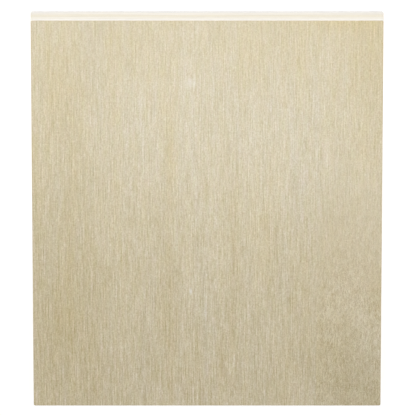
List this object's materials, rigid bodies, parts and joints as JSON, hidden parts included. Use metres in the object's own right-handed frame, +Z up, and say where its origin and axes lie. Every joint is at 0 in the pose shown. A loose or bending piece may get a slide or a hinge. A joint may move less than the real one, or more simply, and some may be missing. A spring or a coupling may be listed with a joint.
{
  "type": "plywood sheet",
  "caption": "Flat rectangular plywood sheet of cross-laid glued veneers with sanded faces, sawn edges and slightly eased corners, used as panel stock.",
  "frame": {"origin": "centre of the back face, which lies on the floor", "axes": "+Y along the face grain and the sheet's length, +X across its width, +Z up through its thickness"},
  "size_m": [0.4, 0.6, 0.016],
  "materials": {
    "face_veneer": "sanded, unfinished pale veneer, grain along Y",
    "back_veneer": "sanded, unfinished pale veneer, grain along Y",
    "crossband": "sawn pale veneer edge, grain along X",
    "core_ply": "sawn tan veneer edge, grain along Y"
  },
  "bodies": {
    "root": {"back_veneer": "back_veneer", "back_crossband": "crossband", "core_ply": "core_ply", "face_crossband": "crossband", "face_veneer": "face_veneer"}
  },
  "joints": []
}
